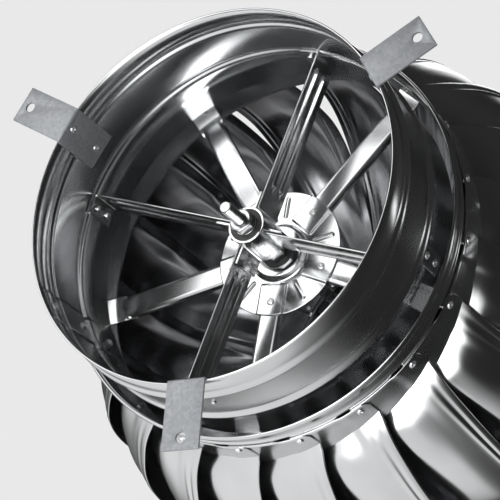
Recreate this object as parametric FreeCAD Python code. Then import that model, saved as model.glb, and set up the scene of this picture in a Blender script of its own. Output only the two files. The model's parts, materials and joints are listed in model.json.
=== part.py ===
import FreeCAD, Part
import math
import os

# Roof turbine ventilator: a fixed throat on three screw-down brackets carries a fixed spindle,
# and a bladed head with twenty pressed vanes spins on that spindle.
# Millimetres, +Z up. The origin lies on the spin axis in the plane of the bracket undersides.

os.makedirs("parts", exist_ok=True)
V = FreeCAD.Vector
AXIS = V(0, 0, 1)
ORIGIN = V(0, 0, 0)

# Clearances
seat_gap = 0.05          # between pieces that are seated on each other
lap_gap = 0.1            # between lapped sheets of the vanes
fit_gap = 0.03           # radial, pieces fixed on the spindle or in their seats
rivet_gap = 0.05         # radial, rivet shank in its hole
run_gap = 0.06           # radial, seal lip on the bearing inner ring

# Throat collar
throat_r = 150.0         # outside radius
throat_sheet = 0.8
throat_height = 110.0
bead_heights = (25.0, 67.5)
bead_width = 9.0
bead_depth = 2.6
seam_from = 145.4         # degrees, edge of the lap inside the collar
seam_deg = 12.0
seam_rivet_deg = 151.7
seam_rivet_heights = (17.0, 56.3, 95.3)

# Screw-down brackets, bent from strip
bracket_count = 3
bracket_angle = 90.0
bracket_t = 2.0
bracket_width = 30.0
bracket_leg = 49.0
bracket_end = 9.0          # from the hole's centre to the foot's end
bracket_hole_r = 4.0
bracket_pitch_r = 190.0
bracket_rivet_heights = (6.0, 40.0)

# Rivets
rivet_r = 1.6
rivet_head_r = 3.1
rivet_head_h = 1.5
rivet_tail = 1.2

# Fixed spider in the throat
strut_count = 4
strut_angle = 18.0
strut_base = 71.0        # height of the struts' lower edge
strut_width = 29.5
strut_t = 1.2
strut_rib_depth = 2.2
strut_rib_width = 5.0
strut_rib_start = 36.0
strut_rib_margin = 11.2    # from the ribs' outer end to the collar
strut_tab_deg = 5.8
strut_tab_t = 1.2
strut_rivet_drop = 7.7   # from the strut's edges to its rivets

# Hub of the fixed spider
hub_r = 15.0
hub_bore_r = 13.0
hub_z0 = 67.0
hub_height = 35.0
wing_reach = 30.0
wing_t = 2.0
bush_length = 9.0

# Spindle and its nuts
spindle_r = 5.0
spindle_z0 = 33.0
spindle_chamfer = 1.0
nut_flats = 17.0
nut_height = 8.4
washer_r = 9.0
washer_t = 1.6

# Sealed ball bearings
bearing_r = 13.0
bearing_width = 8.0
inner_ring_r = 7.6
outer_ring_r = 10.6
seal_t = 0.8
dust_seal_t = 1.4
dust_seal_r = 10.5

# Head ring
ring_r = 162.0           # outside radius of the plain band
ring_lip_r = 165.0
ring_flare_r = 165.5
ring_sheet = 0.8
ring_z0 = 81.0
ring_height = 72.5
ring_flare_h = 8.0
ring_lip_h = 4.5
ring_bead_h = 18.75        # middle of the bead above the ring's lower edge
ring_bead_depth = 1.2

# Head disc and its channel arms
disc_r = 52.0
disc_sheet = 1.2
disc_boss_r = 24.0
disc_pocket = 1.6        # depth of the pockets for the arms' ends
disc_ridge = 0.8
arm_count = 5
arm_angle = 23.5
arm_width = 18.5
arm_sheet = 1.2
arm_flange = 6.0
arm_start = 30.0
arm_above_bearing = 3.0  # arms' underside above that of the lower bearing
arm_bend_r = 142.0
arm_tab_width = 22.0
arm_tab_drop = 19.0
arm_knee_drop = 3.0
arm_rivet_r = 41.0

# Vanes
vane_count = 20
vane_angle = 5.5         # first rivet
vane_sheet = 0.8
vane_tab_z0 = 105.0
vane_crease_z = 135.5
vane_crease_rise = 18.0   # the crease climbs from the vane's right edge to its left
vane_rivet_z = 112.0
vane_rivet_in = 10.0     # from the vane's right edge
vane_corner = 5.0
vane_belly_z = 250.0
vane_belly_r = 220.0
vane_low_b = 120.0       # half height of the ellipse below the belly
vane_high_b = 100.0      # half height of the ellipse above the belly
vane_top_r = 112.0
vane_top_deg = 78.0
vane_top_tab = 20.0
vane_flange = 7.5
vane_groove = 2.2
vane_fall = 3.0            # behind the groove
vane_depth = 28.0
vane_sweep_deg = 5.0         # degrees that the belly runs ahead of the tabs
vane_lap_low = 15.6
vane_lap_mid = 5.0
vane_lap_high = 5.2
vane_low_count = 5
vane_high_count = 5

# Crown plate, its bearing cup and cap
crown_sheet = 0.8
crown_hole_r = 19.0
crown_inner_r = 36.0
crown_rivet_r = 101.0
cup_sheet = 1.5
cup_flange_r = 29.0
cap_r = 22.0
cap_height = 16.0
cap_sheet = 0.8

# Worked out from the values above
throat_z0 = bracket_t + seat_gap
throat_z1 = throat_z0 + throat_height
throat_in = throat_r - throat_sheet
strut_rib_end = throat_in - strut_rib_margin
strut_mid = strut_base + strut_width / 2
hub_z1 = hub_z0 + hub_height
nut_r = nut_flats / math.sqrt(3.0)
hub_nut_z = hub_z1 + washer_t
bearing_nut_z = hub_nut_z + nut_height
low_bearing_z = bearing_nut_z + nut_height
arm_z = low_bearing_z + arm_above_bearing
ring_in = ring_r - ring_sheet
tab_r = ring_r + 2 * (vane_sheet + lap_gap)


def turned(points):
    """Solid of revolution about the spin axis from a closed outline of (radius, height)."""
    corners = [V(r, 0, z) for r, z in points]
    outline = Part.makePolygon(corners + corners[:1])
    return Part.Face(outline).revolve(ORIGIN, AXIS, 360)


def turned_between(points, deg_from, deg_to):
    """The same over part of a turn."""
    corners = [V(r, 0, z) for r, z in points]
    face = Part.Face(Part.makePolygon(corners + corners[:1]))
    face.rotate(ORIGIN, AXIS, deg_from)
    return face.revolve(ORIGIN, AXIS, deg_to - deg_from)


def tube(r_out, r_in, z0, height):
    """Plain ring or tube."""
    return turned([(r_in, z0), (r_out, z0), (r_out, z0 + height), (r_in, z0 + height)])


def sheet_outline(points, thickness):
    """Closed outline of a sheet whose outer line is given, made inwards of it by mitred offsets."""
    inner = []
    for i, (x, y) in enumerate(points):
        before = points[max(i - 1, 0)]
        after = points[min(i + 1, len(points) - 1)]
        first = unit(x - before[0], y - before[1]) if i else unit(after[0] - x, after[1] - y)
        last = unit(after[0] - x, after[1] - y) if i < len(points) - 1 else first
        normal = unit(first[1] + last[1], -first[0] - last[0])
        stretch = thickness / max(0.35, normal[0] * first[1] - normal[1] * first[0])
        inner.append((x - normal[0] * stretch, y - normal[1] * stretch))
    return list(points) + inner[::-1]


def unit(x, y):
    length = math.hypot(x, y)
    return (x / length, y / length)


def spun(shape, degrees):
    """Copy of a shape turned about the spin axis."""
    copy = shape.copy()
    copy.rotate(ORIGIN, AXIS, degrees)
    return copy


def box(x0, x1, y0, y1, z0, z1):
    return Part.makeBox(x1 - x0, y1 - y0, z1 - z0, V(x0, y0, z0))


def bar(outline, axis_from, axis_to):
    """Prism along X from a closed outline of (y, z)."""
    corners = [V(axis_from, y, z) for y, z in outline]
    face = Part.Face(Part.makePolygon(corners + corners[:1]))
    return face.extrude(V(axis_to - axis_from, 0, 0))


def ring_sector(r_out, r_in, z0, height, deg_from, deg_to):
    """Part of a tube between two angles."""
    outline = [(r_in, z0), (r_out, z0), (r_out, z0 + height), (r_in, z0 + height)]
    return turned_between(outline, deg_from, deg_to)


def drill(r, z, r_from, r_to, degrees=0.0):
    """Radial cutter at a height, between two distances from the axis."""
    hole = Part.makeCylinder(r, r_to - r_from, V(r_from, 0, z), V(1, 0, 0))
    return spun(hole, degrees)


def rivet(grip):
    """Rivet along +X: the head stands on the plane x = 0 and the shank passes the grip towards -X."""
    head = Part.makeCone(rivet_head_r, rivet_head_r * 0.6, rivet_head_h, ORIGIN, V(1, 0, 0))
    shank = Part.makeCylinder(rivet_r, grip + rivet_tail, ORIGIN, V(-1, 0, 0))
    return head.fuse(shank).removeSplitter()


def outward_rivet(r_face, z, grip):
    """Rivet across a wall at angle 0 with its head outside."""
    piece = rivet(grip)
    piece.translate(V(r_face, 0, z))
    return piece


def inward_rivet(r_face, z, grip):
    """Rivet across a wall at angle 0 with its head inside."""
    piece = rivet(grip)
    piece.rotate(ORIGIN, AXIS, 180)
    piece.translate(V(r_face, 0, z))
    return piece


def upright_rivet(x, z_face, grip, tilt):
    """Rivet through a level or sloping sheet; a tilt of 90 points its head up and -90 points it down."""
    piece = rivet(grip)
    piece.rotate(ORIGIN, V(0, -1, 0), tilt)
    piece.translate(V(x, 0, z_face))
    return piece


def throat():
    """Rolled collar with two swaged beads, lapped at one seam, drilled for its rivets."""
    line = [(throat_r, throat_z0)]
    for height in bead_heights:
        z = throat_z0 + height
        line += [(throat_r, z - bead_width / 2), (throat_r + bead_depth, z - bead_width / 6),
                 (throat_r + bead_depth, z + bead_width / 6), (throat_r, z + bead_width / 2)]
    line.append((throat_r, throat_z1))
    single = turned_between(sheet_outline(line, throat_sheet), seam_from + seam_deg, seam_from + 360.0)
    double = turned_between(sheet_outline(line, 2 * throat_sheet), seam_from, seam_from + seam_deg)
    wall = single.fuse(double).removeSplitter()
    holes = [drill(rivet_r + rivet_gap, throat_z0 + height, throat_in - 4, throat_r + 2, seam_rivet_deg)
             for height in seam_rivet_heights]
    for angle in bracket_angles():
        for height in bracket_rivet_heights:
            holes.append(drill(rivet_r + rivet_gap, throat_z0 + height, throat_in - 2, throat_r + 2, angle))
    for angle in strut_angles():
        for z in strut_rivet_z():
            turn = angle - strut_tab_deg / 2
            holes.append(drill(rivet_r + rivet_gap, z, throat_in - 2, throat_r + 2, turn))
    return wall.cut(holes)


def bracket_angles():
    return [bracket_angle + i * 360.0 / bracket_count for i in range(bracket_count)]


def strut_angles():
    return [strut_angle + i * 360.0 / strut_count for i in range(strut_count)]


def strut_rivet_z():
    return (strut_base + strut_rivet_drop, strut_base + strut_width - strut_rivet_drop)


def arm_angles():
    return [arm_angle + i * 360.0 / arm_count for i in range(arm_count)]


def vane_angles():
    return [vane_angle + i * 360.0 / vane_count for i in range(vane_count)]


def bracket_face():
    """Distance from the axis to the flat that rests on the collar's inner wall."""
    return math.sqrt(throat_in ** 2 - (bracket_width / 2) ** 2) - seat_gap


def bracket():
    """Strip bent once: a leg up the inside of the collar and a foot outwards under its rim."""
    half = bracket_width / 2
    face = bracket_face()
    end = bracket_pitch_r + bracket_end
    leg = box(face - bracket_t, face, -half, half, 0, throat_z0 + bracket_leg)
    foot = box(face - bracket_t, end, -half, half, 0, bracket_t)
    strip = leg.fuse(foot).removeSplitter()
    bend = [e for e in strip.Edges if e.BoundBox.XMax < face - bracket_t + 0.01
            and e.BoundBox.ZMax < 0.01 and e.BoundBox.YLength > half]
    strip = strip.makeFillet(bracket_t * 0.9, bend)
    holes = [drill(rivet_r + rivet_gap, throat_z0 + h, face - 2 * bracket_t, face + 1)
             for h in bracket_rivet_heights]
    holes.append(Part.makeCylinder(bracket_hole_r, 3 * bracket_t, V(bracket_pitch_r, 0, -bracket_t)))
    return strip.cut(holes)


def bracket_rivets():
    grip = throat_r - bracket_face() + bracket_t
    pair = [inward_rivet(bracket_face() - bracket_t, throat_z0 + h, grip) for h in bracket_rivet_heights]
    return [spun(piece, angle) for angle in bracket_angles() for piece in pair]


def seam_rivets():
    """Rivets through the lapped seam of the collar, heads inside."""
    face = math.sqrt((throat_in - throat_sheet) ** 2 - rivet_head_r ** 2) - seat_gap
    grip = throat_r - face
    return [spun(inward_rivet(face, throat_z0 + h, grip), seam_rivet_deg) for h in seam_rivet_heights]


def strut():
    """Strip on edge with two pressed ribs, its outer end bent along the collar's inner wall."""
    z0 = strut_base
    z1 = strut_base + strut_width
    tab_out = throat_in - seat_gap
    tab_in = tab_out - strut_tab_t
    rib_line = [(strut_t, z0)]
    for z in (z0 + strut_width * 0.3, z0 + strut_width * 0.7):
        rib_line += [(strut_t, z - strut_rib_width / 2), (strut_t + strut_rib_depth, z - strut_rib_width / 5),
                     (strut_t + strut_rib_depth, z + strut_rib_width / 5), (strut_t, z + strut_rib_width / 2)]
    rib_line.append((strut_t, z1))
    ribbed = bar(sheet_outline(rib_line, strut_t), strut_rib_start, strut_rib_end)
    inner = box(hub_r + seat_gap + 0.5, strut_rib_start, 0, strut_t, z0, z1)
    outer = box(strut_rib_end, tab_in + strut_tab_t / 2, 0, strut_t, z0, z1)
    corner = math.degrees(strut_t / tab_in)
    tab = ring_sector(tab_out, tab_in, z0, strut_width, -strut_tab_deg, corner)
    strip = ribbed.fuse([inner, outer, tab]).removeSplitter()
    holes = [drill(rivet_r + rivet_gap, z, tab_in - 1, tab_out + 1, -strut_tab_deg / 2)
             for z in strut_rivet_z()]
    return strip.cut(holes)


def strut_rivets():
    grip = throat_sheet + seat_gap + strut_tab_t
    pair = [outward_rivet(throat_r, z, grip) for z in strut_rivet_z()]
    return [spun(piece, angle - strut_tab_deg / 2) for angle in strut_angles() for piece in pair]


def hub():
    """Tube with a flat wing beside the inner end of each strut."""
    barrel = tube(hub_r, hub_bore_r, hub_z0, hub_height)
    wing = box(hub_bore_r + 1, wing_reach, -wing_t, 0, strut_base + 0.5, strut_base + strut_width - 0.5)
    return barrel.fuse([spun(wing, angle) for angle in strut_angles()]).removeSplitter()


def hub_bushes():
    """Rubber-bonded bushes that hold the spindle at both ends of the hub."""
    low = tube(hub_bore_r - fit_gap, spindle_r + fit_gap, hub_z0, bush_length)
    high = tube(hub_bore_r - fit_gap, spindle_r + fit_gap, hub_z1 - bush_length, bush_length)
    return [low, high]


def spindle():
    """Fixed spindle, chamfered at both ends."""
    c = spindle_chamfer
    top = top_nut_z() + nut_height + 2 * c
    return turned([(0, spindle_z0), (spindle_r - c, spindle_z0), (spindle_r, spindle_z0 + c),
                   (spindle_r, top - c), (spindle_r - c, top), (0, top)])


def nut(z0):
    """Hexagon nut on the spindle."""
    corners = [V(nut_r * math.cos(math.radians(60 * i)), nut_r * math.sin(math.radians(60 * i)), z0)
               for i in range(6)]
    prism = Part.Face(Part.makePolygon(corners + corners[:1])).extrude(V(0, 0, nut_height))
    return prism.cut(Part.makeCylinder(spindle_r + fit_gap, 3 * nut_height, V(0, 0, z0 - nut_height)))


def spindle_nuts():
    """One under the hub, two on top of it, and one on each side of the upper bearing."""
    heights = [hub_z0 - washer_t - nut_height, hub_nut_z, bearing_nut_z,
               top_bearing_z() - nut_height, top_nut_z()]
    return [nut(z) for z in heights]


def spindle_washers():
    heights = (hub_z0 - washer_t, hub_z1)
    return [tube(washer_r, spindle_r + fit_gap, z, washer_t) for z in heights]


def top_bearing_z():
    """Underside of the upper bearing, whose top is level with the crown plate."""
    return crown_height(crown_inner_r) + crown_sheet - bearing_width


def top_nut_z():
    return top_bearing_z() + bearing_width


def bearing_heights():
    return (low_bearing_z, top_bearing_z())


def bearing_inner_rings():
    return [tube(inner_ring_r, spindle_r + fit_gap, z, bearing_width) for z in bearing_heights()]


def bearing_outer_rings():
    return [tube(bearing_r, outer_ring_r, z, bearing_width) for z in bearing_heights()]


def bearing_seals():
    seals = []
    for z in bearing_heights():
        for base in (z, z + bearing_width - seal_t):
            seals.append(tube(outer_ring_r, inner_ring_r + run_gap, base, seal_t))
    return seals


def dust_seal():
    """Rubber lip ring under the lower bearing, round the nut that carries it."""
    return tube(bearing_r, dust_seal_r, low_bearing_z - dust_seal_t, dust_seal_t)


def head_ring():
    """Band that carries the vanes' feet: rolled lower lip, one bead and a flared top."""
    z = ring_z0
    lip = ring_lip_r - ring_r
    bead = ring_z0 + ring_bead_h
    deep = ring_bead_depth
    line = [(ring_lip_r - deep, z), (ring_lip_r, z + deep), (ring_lip_r, z + ring_lip_h),
            (ring_r, z + ring_lip_h + lip), (ring_r, bead - 2 * deep), (ring_r + deep, bead - deep / 2),
            (ring_r + deep, bead + deep / 2), (ring_r, bead + 2 * deep),
            (ring_r, z + ring_height - ring_flare_h), (ring_flare_r, z + ring_height)]
    band = turned(sheet_outline(line, ring_sheet))
    holes = [drill(rivet_r + rivet_gap, vane_rivet_z, ring_in - 2, ring_r + 2, angle)
             for angle in vane_angles()]
    return band.cut(holes)


def disc():
    """Pressed disc: collar for the lower bearing, boss, flat web with a pocket under each arm."""
    web = arm_z + disc_pocket
    low = low_bearing_z - dust_seal_t
    seat = bearing_r + fit_gap
    line = [(seat, low), (disc_boss_r - 3, low), (disc_boss_r, web - disc_sheet),
            (disc_r, web - disc_sheet), (disc_r, web), (disc_boss_r - 0.5, web),
            (disc_boss_r - 3.5, low + disc_sheet), (seat + disc_sheet, low + disc_sheet),
            (seat + disc_sheet, low_bearing_z + bearing_width), (seat, low_bearing_z + bearing_width)]
    body = turned(line)
    half = arm_width / 2 + 1.0
    wall = half + disc_sheet
    tray = box(disc_boss_r + 2, disc_r, -wall, wall, arm_z - disc_sheet, web - disc_sheet / 2)
    tray = tray.common(Part.makeCylinder(disc_r, 50, V(0, 0, arm_z - 25)))
    ridge = box(disc_boss_r + 6, disc_r - 5, -1.3, 1.3, web - disc_sheet - disc_ridge, web - disc_sheet / 2)
    hollow = box(disc_boss_r + 2 + disc_sheet, disc_r + 1, -half, half, arm_z, web + 1)
    hole = Part.makeCylinder(rivet_r + rivet_gap, 20, V(arm_rivet_r, 0, arm_z - 10))
    half_pitch = 180.0 / arm_count
    trays = [spun(tray, angle) for angle in arm_angles()]
    ridges = [spun(ridge, angle + half_pitch) for angle in arm_angles()]
    body = body.fuse(trays + ridges).removeSplitter()
    return body.cut([spun(cutter, angle) for angle in arm_angles() for cutter in (hollow, hole)])


def arm_tab():
    """Inner and outer distance of the arm's end tab, whose edges rest on the ring's inner wall."""
    outer = math.sqrt(ring_in ** 2 - (arm_tab_width / 2) ** 2) - seat_gap
    return (outer - arm_sheet, outer)


def arm():
    """Channel arm, flanges up, its widened outer end bent down along the ring's inner wall."""
    half = arm_width / 2
    z0 = arm_z + seat_gap
    z1 = z0 + arm_sheet
    top = z0 + arm_flange
    channel = [(-half, z0), (half, z0), (half, top), (half - arm_sheet, top),
               (half - arm_sheet, z1), (arm_sheet - half, z1), (arm_sheet - half, top), (-half, top)]
    straight = bar(channel, arm_start, arm_bend_r)
    tab_in, tab_out = arm_tab()
    knee_z = z0 - arm_knee_drop
    side = [(arm_bend_r - 2, z0), (tab_in, knee_z), (tab_in, z0 - arm_tab_drop), (tab_out, z0 - arm_tab_drop),
            (tab_out, knee_z + arm_sheet), (arm_bend_r - 2, z1)]
    corners = [V(x, -arm_tab_width / 2, z) for x, z in side]
    bent = Part.Face(Part.makePolygon(corners + corners[:1])).extrude(V(0, arm_tab_width, 0))
    strip = straight.fuse(bent).removeSplitter()
    inner_hole = Part.makeCylinder(rivet_r + rivet_gap, 20, V(arm_rivet_r, 0, z0 - 10))
    return strip.cut([inner_hole, drill(rivet_r + rivet_gap, vane_rivet_z, tab_in - 1, tab_out + 1)])


def disc_rivets():
    grip = 2 * disc_sheet + seat_gap
    piece = upright_rivet(arm_rivet_r, arm_z - disc_sheet, grip, -90)
    return [spun(piece, angle) for angle in arm_angles()]


def vane_rivets():
    """Rivets through the lapped feet of the vanes and the ring, where no arm ends."""
    piece = outward_rivet(tab_r, vane_rivet_z, tab_r - ring_in)
    free = [angle for i, angle in enumerate(vane_angles()) if i % (vane_count // arm_count) != 1]
    return [spun(piece, angle) for angle in free]


def arm_rivets():
    """Rivets through the feet of the vanes, the ring and the arms' end tabs."""
    piece = outward_rivet(tab_r, vane_rivet_z, tab_r - arm_tab()[0])
    return [spun(piece, angle) for angle in arm_angles()]


def vane_stations():
    """Along the vane: radius, height, normal, share of the pressed shape, lap, corner cut, crease rise."""
    low_phi = math.asin((vane_crease_z - vane_belly_z) / vane_low_b)
    low_a = (vane_belly_r - tab_r) / (1 - math.cos(low_phi))
    top_phi = math.radians(vane_top_deg)
    high_a = (vane_belly_r - vane_top_r) / (1 - math.cos(top_phi))
    stations = [(tab_r, vane_tab_z0, (1, 0), 0.0, vane_lap_low, vane_corner, 0.0),
                (tab_r, vane_tab_z0 + vane_corner, (1, 0), 0.0, vane_lap_low, 0.0, 0.0)]
    steps = vane_low_count + vane_high_count
    for i in range(steps + 1):
        if i < vane_low_count:
            phi = low_phi * (1 - i / vane_low_count)
            a, b = low_a, vane_low_b
        else:
            phi = top_phi * (i - vane_low_count) / vane_high_count
            a, b = high_a, vane_high_b
        r = vane_belly_r - a * (1 - math.cos(phi))
        z = vane_belly_z + b * math.sin(phi)
        normal = unit(b * math.cos(phi), a * math.sin(phi)) if i else (1, 0)
        bulge = max(0.0, math.sin(math.pi * i / steps)) ** 0.7
        lap_end = vane_lap_low if i < vane_low_count else vane_lap_high
        lap = lap_end + (vane_lap_mid - lap_end) * bulge
        rise = vane_crease_rise * max(0.0, 1 - 0.6 * i)
        stations.append((r, z, normal, bulge, lap, 0.0, rise))
    r, z, normal = stations[-1][:3]
    end_r = r - vane_top_tab * normal[1]
    end_z = z + vane_top_tab * normal[0]
    stations.append((end_r, end_z, normal, 0.0, vane_lap_high, 0.0, 0.0))
    return stations


def vane_section(station):
    """Outer and inner edge of the vane sheet at one station, wrapped round the spin axis."""
    r, z, normal, bulge, lap, corner, rise = station
    width = math.radians(360.0 / vane_count) * r + lap
    layer = vane_sheet + lap_gap
    depth = layer + vane_depth * bulge
    flat = [(0.0, 0.0), (1 / 7, 0.0), (2 / 7, 0.0), (3 / 7, -layer), (4 / 7, -layer), (5 / 7, -layer),
            (6 / 7, -layer), (1.0, -layer)]
    fold = vane_flange / width
    pressed = [(0.0, 0.0), (fold, 0.0), (fold + 0.035, -vane_groove), (0.34, -vane_fall),
               (0.52, -0.25 * depth), (0.74, -0.55 * depth), (1.0 - fold, 0.8 - depth), (1.0, -depth)]
    line = []
    for (u0, v0), (u1, v1) in zip(flat, pressed):
        line.append((corner + (width - corner) * (u0 + (u1 - u0) * bulge), v0 + (v1 - v0) * bulge))
    outline = sheet_outline(line, -vane_sheet)
    start = math.radians(vane_sweep_deg * bulge) - vane_rivet_in / tab_r
    points = []
    for u, v in outline:
        angle = start + u / r
        radius = r + v * normal[0]
        height = z + v * normal[1] + rise * (u / width - 0.5)
        points.append(V(radius * math.cos(angle), radius * math.sin(angle), height))
    return points


def vane():
    """Pressed vane: foot, crease, deep scoop with a flange on its leading edge, and top tab."""
    sections = [vane_section(station) for station in vane_stations()]
    wires = [Part.makePolygon(points + points[:1]) for points in sections]
    faces = Part.makeLoft(wires, False, True).Faces
    for points in (sections[0], sections[-1]):
        half = len(points) // 2
        for i in range(half - 1):
            outer = Part.makeLine(points[i], points[i + 1])
            inner = Part.makeLine(points[-1 - i], points[-2 - i])
            faces.append(Part.makeRuledSurface(outer, inner))
    shell = Part.makeShell(faces)
    shell.sewShape()
    foot_holes = [drill(rivet_r + rivet_gap, vane_rivet_z, ring_r - 1, tab_r + 2, turn)
                  for turn in (0.0, 360.0 / vane_count)]
    top_hole = spun(crown_rivet_hole(), crown_rivet_turn())
    return Part.makeSolid(shell).cut(foot_holes + [top_hole])


def crown_height(radius):
    """Height of the crown plate's underside, which lies on the vanes' top tabs."""
    r, z = vane_stations()[-2][:2]
    end_r, end_z = vane_stations()[-1][:2]
    return z + seat_gap + (r - radius) * (end_z - z) / (r - end_r)


def crown_slope():
    """Slope of the crown plate in degrees."""
    normal = vane_stations()[-1][2]
    return math.degrees(math.atan2(normal[0], normal[1]))


def crown_rivets():
    """Rivets through the crown plate and the top tab of each vane."""
    foot, way = crown_rivet_line()
    head = foot + way * crown_sheet
    grip = crown_sheet + 2 * vane_sheet + lap_gap + seat_gap
    piece = upright_rivet(head.x, head.z, grip, 90 - crown_slope())
    return [spun(piece, angle + crown_rivet_turn()) for angle in vane_angles()]


def crown_rivet_turn():
    """Angle from a vane's foot rivet to the middle of its top tab."""
    return 180.0 / vane_count - math.degrees(vane_rivet_in / tab_r) + 1.0


def crown_rivet_line():
    """Point on the crown plate's underside at angle 0 and the plate's outward normal there."""
    slope = math.radians(crown_slope())
    return V(crown_rivet_r, 0, crown_height(crown_rivet_r)), V(math.sin(slope), 0, math.cos(slope))


def crown_rivet_hole():
    """Cutter along the crown rivet at angle 0."""
    foot, way = crown_rivet_line()
    return Part.makeCylinder(rivet_r + rivet_gap, 10, foot - way * 5, way)


def crown():
    """Shallow conical crown plate with a flat middle."""
    edge = vane_top_r + 2.0
    flat = crown_height(crown_inner_r) + crown_sheet
    line = [(crown_hole_r, flat), (crown_inner_r, flat), (edge, crown_height(edge) + crown_sheet)]
    plate = turned(sheet_outline(line, -crown_sheet))
    return plate.cut([spun(crown_rivet_hole(), angle + crown_rivet_turn()) for angle in vane_angles()])


def bearing_cup():
    """Pressed cup that holds the upper bearing, with a flange on top of the crown plate."""
    base = crown_height(crown_inner_r) + crown_sheet + seat_gap
    seat = bearing_r + fit_gap
    return turned([(seat, top_bearing_z()), (seat + cup_sheet, top_bearing_z()), (seat + cup_sheet, base),
                   (cup_flange_r, base), (cup_flange_r, base + cup_sheet), (seat, base + cup_sheet)])


def crown_cap():
    """Small domed cap over the spindle's end, its rim on the flange of the bearing cup."""
    z = crown_height(crown_inner_r) + crown_sheet + cup_sheet + 2 * seat_gap
    dome = [(cap_r + 4.0, z + cap_sheet), (cap_r, z + cap_sheet), (cap_r * 0.9, z + cap_height * 0.62),
            (cap_r * 0.6, z + cap_height * 0.93), (0.0, z + cap_height)]
    inner = [(cap_r * 0.58, z + cap_height * 0.93 - cap_sheet),
             (cap_r * 0.9 - cap_sheet, z + cap_height * 0.6), (cap_r - cap_sheet, z), (cap_r + 4.0, z)]
    return turned(dome + [(0.0, z + cap_height - cap_sheet)] + inner)


def save(name, pieces):
    """Write one sub-part; a list is a group of separate solids."""
    shape = Part.makeCompound(pieces) if isinstance(pieces, list) else pieces
    shape.exportStep("parts/" + name + ".step")


def main():
    save("throat", throat())
    for i, angle in enumerate(bracket_angles()):
        save("bracket_%d" % (i + 1), spun(bracket(), angle))
    save("bracket_rivets", bracket_rivets())
    save("seam_rivets", seam_rivets())
    for i, angle in enumerate(strut_angles()):
        save("strut_%d" % (i + 1), spun(strut(), angle))
    save("strut_rivets", strut_rivets())
    save("hub", hub())
    save("hub_bushes", hub_bushes())
    save("spindle", spindle())
    save("spindle_nuts", spindle_nuts())
    save("spindle_washers", spindle_washers())
    save("bearing_inner_rings", bearing_inner_rings())
    save("bearing_outer_rings", bearing_outer_rings())
    save("bearing_seals", bearing_seals())
    save("dust_seal", dust_seal())
    save("head_ring", head_ring())
    save("head_disc", disc())
    for i, angle in enumerate(arm_angles()):
        save("head_arm_%d" % (i + 1), spun(arm(), angle))
    save("disc_rivets", disc_rivets())
    save("arm_rivets", arm_rivets())
    save("vane_rivets", vane_rivets())
    blade = vane()
    for i, angle in enumerate(vane_angles()):
        save("vane_%02d" % (i + 1), spun(blade, angle))
    save("crown", crown())
    save("crown_rivets", crown_rivets())
    save("bearing_cup", bearing_cup())
    save("crown_cap", crown_cap())


main()
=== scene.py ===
"""Looks of the roof turbine ventilator: mirror-polished sheet, zinc-coated brackets, rivets and bearings.

Lengths in the shape functions are millimetres and become metres when a piece is finished. Heights are
above the plane that the brackets stand on, and angles are degrees about the spin axis.
"""

import json
import math

import bmesh
import bpy
from mathutils import Matrix, Vector


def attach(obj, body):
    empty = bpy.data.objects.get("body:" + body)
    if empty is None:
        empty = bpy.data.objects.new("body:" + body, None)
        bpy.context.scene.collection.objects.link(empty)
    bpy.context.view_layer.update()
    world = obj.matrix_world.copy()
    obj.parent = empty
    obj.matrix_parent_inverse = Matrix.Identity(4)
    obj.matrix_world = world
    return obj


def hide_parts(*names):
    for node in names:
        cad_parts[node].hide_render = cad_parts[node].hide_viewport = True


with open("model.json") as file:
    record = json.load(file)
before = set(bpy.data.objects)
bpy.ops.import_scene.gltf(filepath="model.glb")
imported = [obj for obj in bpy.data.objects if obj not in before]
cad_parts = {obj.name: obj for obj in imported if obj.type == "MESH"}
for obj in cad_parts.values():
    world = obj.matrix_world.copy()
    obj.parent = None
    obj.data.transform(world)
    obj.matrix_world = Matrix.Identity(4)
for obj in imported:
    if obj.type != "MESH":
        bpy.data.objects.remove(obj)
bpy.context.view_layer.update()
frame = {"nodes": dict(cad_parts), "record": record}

MM = 0.001
TURN = math.tau

# Sizes of the fixed body

SEAT_GAP = 0.05            # between pieces that are seated on each other
FIT_GAP = 0.03             # round the spindle and in the bearings' seats
SHEET = 0.8                # polished sheet of collar, ring, vanes and crown
STRIP_T = 1.2              # strip of struts, arms and disc
EDGE_BREAK = 0.35          # rounding of cut edges

COLLAR_R = 150.0
COLLAR_LOW_Z = 2.5         # lower end of the sheet, inside the hem
COLLAR_TOP = 112.05
COLLAR_BEADS = (27.05, 69.55)
COLLAR_BEAD_DEPTH = 2.6
COLLAR_BEAD_HALF = 4.5     # half width of a bead at its foot
COLLAR_CREST_HALF = 1.5
COLLAR_ROUND = 1.3
HEM_R, HEM_Z = 149.25, 2.85
HEM_HALF_WIDTH, HEM_HALF_HEIGHT = 0.72, 0.78
SEAM_FROM, SEAM_TO = 145.4, 157.4
SEAM_RIVETS_AT = 151.7
SEAM_RIVET_HEIGHTS = (19.05, 58.35, 97.35)

BRACKETS_AT = (90.0, 210.0, 330.0)
BRACKET_RIVET_HEIGHTS = (8.05, 42.05)
BRACKET_FACE_R = 146.39    # rivets' seat on the brackets' inner face
SEAM_FACE_R = 148.32       # rivets' seat on the lap inside the collar

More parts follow.
